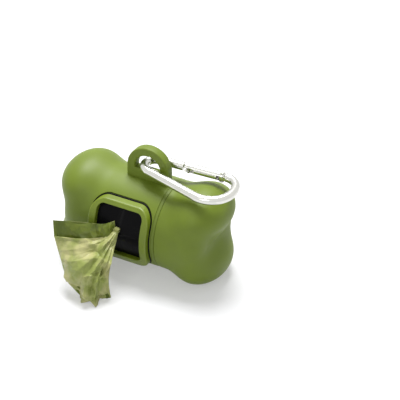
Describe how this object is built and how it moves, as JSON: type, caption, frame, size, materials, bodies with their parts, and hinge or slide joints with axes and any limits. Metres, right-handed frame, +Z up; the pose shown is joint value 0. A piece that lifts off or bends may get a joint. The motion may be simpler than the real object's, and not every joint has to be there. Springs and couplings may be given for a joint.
{
  "type": "pet waste bag dispenser",
  "caption": "Bone-shaped screw-together case for rolled waste bags, with a slotted rubber window, a hanging loop and a spring-gate carabiner.",
  "frame": {"origin": "on the table under the middle of the bone", "axes": "+X along the bone towards the cap, -Y out of the bag window, +Z up towards the hanging loop"},
  "size_m": [0.085, 0.0658, 0.0586],
  "materials": {
    "case_plastic": "satin moulded olive green",
    "bezel_plastic": "satin moulded, a lighter and yellower green than the case",
    "black_rubber": "soft matt black rubber",
    "bag_film": "thin translucent light green film",
    "core_card": "plain brown card tube",
    "clip_metal": "bright polished",
    "pin_steel": "bright turned steel"
  },
  "bodies": {
    "case": {"body_shell": "case_plastic", "slot_bezel": "bezel_plastic", "slot_diaphragm": "black_rubber", "bag_web": "bag_film"},
    "seam_band": {"seam_ring": "case_plastic"},
    "cap": {"cap_shell": "case_plastic"},
    "roll": {"bag_roll": "bag_film", "roll_core": "core_card"},
    "pulled_bag": {"bag_tail": "bag_film"},
    "carabiner": {"carabiner_frame": "clip_metal", "gate_rivet": "pin_steel"},
    "gate": {"carabiner_gate": "clip_metal", "gate_latch_pin": "pin_steel", "gate_spring": "pin_steel", "gate_plunger": "pin_steel"}
  },
  "joints": [
    {"name": "cap_turn", "type": "hinge", "parent": "case", "child": "seam_band", "pos_m": [0.0132, 0, 0.02264], "axis": [1, 0, 0], "range_deg": [0, 150]},
    {"name": "cap_advance", "type": "slide", "parent": "seam_band", "child": "cap", "axis": [1, 0, 0], "range_m": [0, 0.00502]},
    {"name": "bag_pull", "type": "slide", "parent": "case", "child": "pulled_bag", "axis": [0, -1, 0], "range_m": [0, 0.03], "deforming": ["bag_web"]},
    {"name": "roll_spin", "type": "hinge", "parent": "case", "child": "roll", "pos_m": [0, 0, 0.02165], "axis": [1, 0, 0], "range_deg": [-5, 115]},
    {"name": "carabiner_swing", "type": "hinge", "parent": "case", "child": "carabiner", "pos_m": [-0.0012, 0, 0.05004], "axis": [0, -1, 0], "range_deg": [0, 170]},
    {"name": "gate_open", "type": "hinge", "parent": "carabiner", "child": "gate", "pos_m": [0.03271, 0.00783, 0.0492], "axis": [0.0452, -0.0889, 0.995], "range_deg": [0, 32], "stiffness_Nm_per_rad": 0.03, "springref_deg": -22.92}
  ],
  "couplings": [
    {"joint": "cap_advance", "follows": "cap_turn", "m_per_rad": 0.0019099},
    {"joint": "roll_spin", "follows": "bag_pull", "rad_per_m": 64.516}
  ]
}
